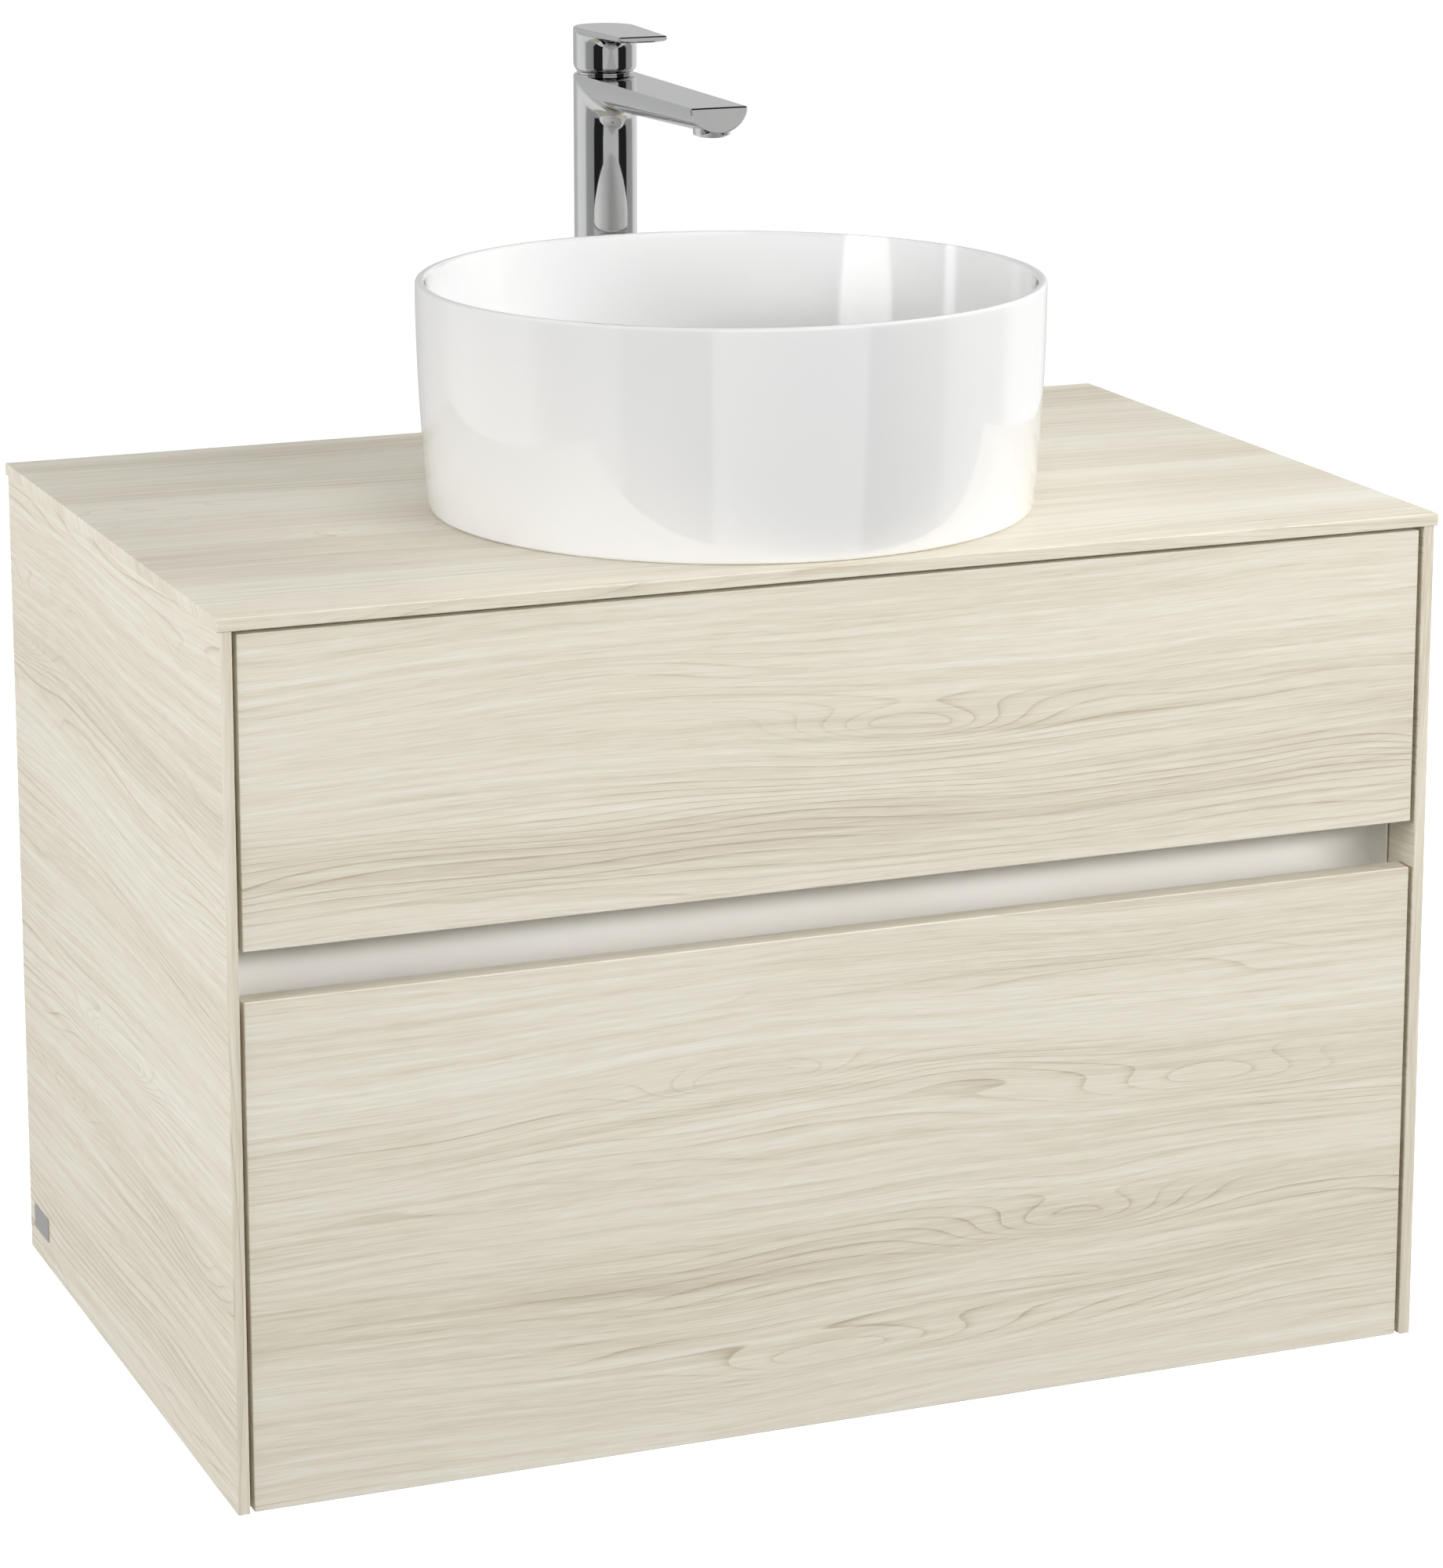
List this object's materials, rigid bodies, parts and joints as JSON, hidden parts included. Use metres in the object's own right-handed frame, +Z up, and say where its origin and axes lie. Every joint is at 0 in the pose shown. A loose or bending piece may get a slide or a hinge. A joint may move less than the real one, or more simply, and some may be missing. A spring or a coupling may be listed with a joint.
{
  "type": "vessel sink on vanity",
  "caption": "Wall-hung two-drawer vanity in pale wood with a round vessel basin and a tall single-lever faucet.",
  "frame": {"origin": "on the wall plane, at the centre of the four wall screws", "axes": "+X to the user's right, -Y out of the wall towards the user, +Z up"},
  "size_m": [0.8, 0.5, 0.8293],
  "materials": {
    "laminate": "pale cream wood-grain laminate, satin",
    "carcass_board": "plain pale melamine board, satin",
    "drawer_board": "light grey drawer board, satin",
    "zinc_steel": "zinc-plated, dull",
    "white_aluminium": "matt white lacquer",
    "white_plastic": "matt white",
    "brushed_badge": "fine brushed",
    "grey_plastic": "light grey, fine texture",
    "glazed_ceramic": "white glaze, high gloss",
    "black_rubber": "matt",
    "chrome": "polished",
    "brass": "turned",
    "dark_plastic": "matt"
  },
  "bodies": {
    "cabinet": {"countertop": "laminate", "end_panel_left": "laminate", "end_panel_right": "laminate", "carcass_side_left": "carcass_board", "carcass_side_right": "carcass_board", "carcass_top": "carcass_board", "carcass_bottom": "carcass_board", "back_rail_upper": "carcass_board", "back_rail_lower": "carcass_board", "carcass_screws": "zinc_steel", "wall_plates": "zinc_steel", "cabinet_hangers": "zinc_steel", "channel_brackets": "zinc_steel", "runner_cabinet_rails": "zinc_steel", "mounting_stud": "zinc_steel", "mounting_clamp": "zinc_steel", "mounting_nut": "zinc_steel", "handle_channel": "white_aluminium", "channel_end_caps": "white_plastic", "badge_plate": "brushed_badge", "basin": "glazed_ceramic", "basin_seals": "black_rubber", "faucet_base_seal": "black_rubber", "waste_body": "chrome", "waste_nut": "grey_plastic", "tailpiece": "chrome", "tailpiece_nut": "chrome", "trap_body": "chrome", "trap_cup": "chrome", "trap_nuts": "chrome", "outlet_pipe": "chrome", "faucet_body": "chrome", "dome_collar": "chrome", "cartridge_body": "grey_plastic", "cartridge_nut": "brass", "aerator_housing": "chrome", "aerator_insert": "dark_plastic"},
    "upper_drawer": {"upper_drawer_front": "laminate", "upper_drawer_side_left": "drawer_board", "upper_drawer_side_right": "drawer_board", "upper_drawer_back": "drawer_board", "upper_drawer_floor": "drawer_board", "upper_drawer_bay_wall": "grey_plastic", "upper_front_brackets": "zinc_steel", "upper_runner_drawer_rails": "zinc_steel"},
    "lower_drawer": {"lower_drawer_front": "laminate", "lower_drawer_side_left": "drawer_board", "lower_drawer_side_right": "drawer_board", "lower_drawer_back": "drawer_board", "lower_drawer_floor": "drawer_board", "lower_front_brackets": "zinc_steel", "lower_runner_drawer_rails": "zinc_steel"},
    "upper_runner_middle": {"upper_runner_middle_rails": "zinc_steel"},
    "lower_runner_middle": {"lower_runner_middle_rails": "zinc_steel"},
    "lever_carrier": {"stem_carrier": "grey_plastic", "stem_pin": "zinc_steel"},
    "lever": {"lever_handle": "chrome", "cartridge_stem": "brass", "lever_screw_and_plug": "zinc_steel"},
    "cover": {"waste_cover": "chrome"}
  },
  "joints": [
    {"name": "upper_drawer_slide", "type": "slide", "parent": "cabinet", "child": "upper_drawer", "axis": [0, -1, 0], "range_m": [0, 0.38]},
    {"name": "lower_drawer_slide", "type": "slide", "parent": "cabinet", "child": "lower_drawer", "axis": [0, -1, 0], "range_m": [0, 0.38]},
    {"name": "upper_runner_slide", "type": "slide", "parent": "cabinet", "child": "upper_runner_middle", "axis": [0, -1, 0], "range_m": [0, 0.19]},
    {"name": "lower_runner_slide", "type": "slide", "parent": "cabinet", "child": "lower_runner_middle", "axis": [0, -1, 0], "range_m": [0, 0.19]},
    {"name": "lever_turn", "type": "hinge", "parent": "cabinet", "child": "lever_carrier", "pos_m": [0, -0.0723, 0.319], "axis": [0, 0, 1], "range_deg": [-45, 45]},
    {"name": "lever_lift", "type": "hinge", "parent": "lever_carrier", "child": "lever", "pos_m": [0, -0.0723, 0.319], "axis": [-1, 0, 0], "range_deg": [0, 20]},
    {"name": "cover_lift", "type": "slide", "parent": "cabinet", "child": "cover", "axis": [0, 0, 1], "range_m": [0, 0.15]}
  ],
  "couplings": [
    {"joint": "upper_runner_slide", "follows": "upper_drawer_slide", "ratio": 0.5},
    {"joint": "lower_runner_slide", "follows": "lower_drawer_slide", "ratio": 0.5}
  ]
}
